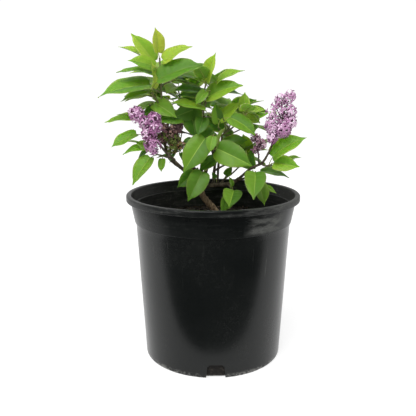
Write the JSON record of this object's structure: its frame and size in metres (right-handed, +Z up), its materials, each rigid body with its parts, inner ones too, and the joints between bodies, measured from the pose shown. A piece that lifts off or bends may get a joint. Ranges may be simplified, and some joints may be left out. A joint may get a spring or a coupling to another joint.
{
  "type": "potted lilac bush",
  "caption": "Young lilac bush in a round black nursery pot: bare forked stems, heart-shaped green leaves, lilac flower panicles, a faded bloom and a dry seed head.",
  "frame": {"origin": "centre of the pot's flat underside, which stands on the floor", "axes": "+Z up the plant, +X to the right and +Y to the back, seen from the side that bears the blossom"},
  "size_m": [0.3462, 0.302, 0.5641],
  "materials": {
    "pot_plastic": "black satin plastic with dust and scuffs",
    "growing_mix": "dark bark-based growing mix",
    "bark": "thin grey-brown bark",
    "leaf": "smooth green leaves with a slight gloss",
    "petal": "pinkish-lilac petals",
    "faded_petal": "dry brown petals and seed capsules"
  },
  "bodies": {
    "root": {"pot": "pot_plastic", "soil": "growing_mix", "trunk": "bark", "bough_crown": "bark", "bough_right": "bark", "bough_centre": "bark", "bough_left_bloom": "bark", "bough_left_low": "bark", "bough_faded": "bark", "bough_seed": "bark", "bough_right_inner": "bark", "bough_right_low": "bark", "bough_right_bloom": "bark", "bough_right_small": "bark", "bough_right_leaf": "bark", "bough_front_right": "bark", "bough_front": "bark", "bough_front_left": "bark", "bough_middle": "bark", "bough_back_left": "bark", "bough_back_right": "bark", "bough_back_low": "bark", "leaves_crown": "leaf", "leaves_centre": "leaf", "leaves_right_inner": "leaf", "leaves_middle": "leaf", "leaves_right": "leaf", "leaves_front_right": "leaf", "leaves_front": "leaf", "leaves_front_left": "leaf", "leaves_left_low": "leaf", "leaves_right_low": "leaf", "leaves_back_left": "leaf", "leaves_back_right": "leaf", "leaves_back_low": "leaf", "bloom_left": "petal", "bloom_right": "petal", "bloom_right_small": "petal", "bloom_faded": "faded_petal", "seed_head": "faded_petal"}
  },
  "joints": []
}
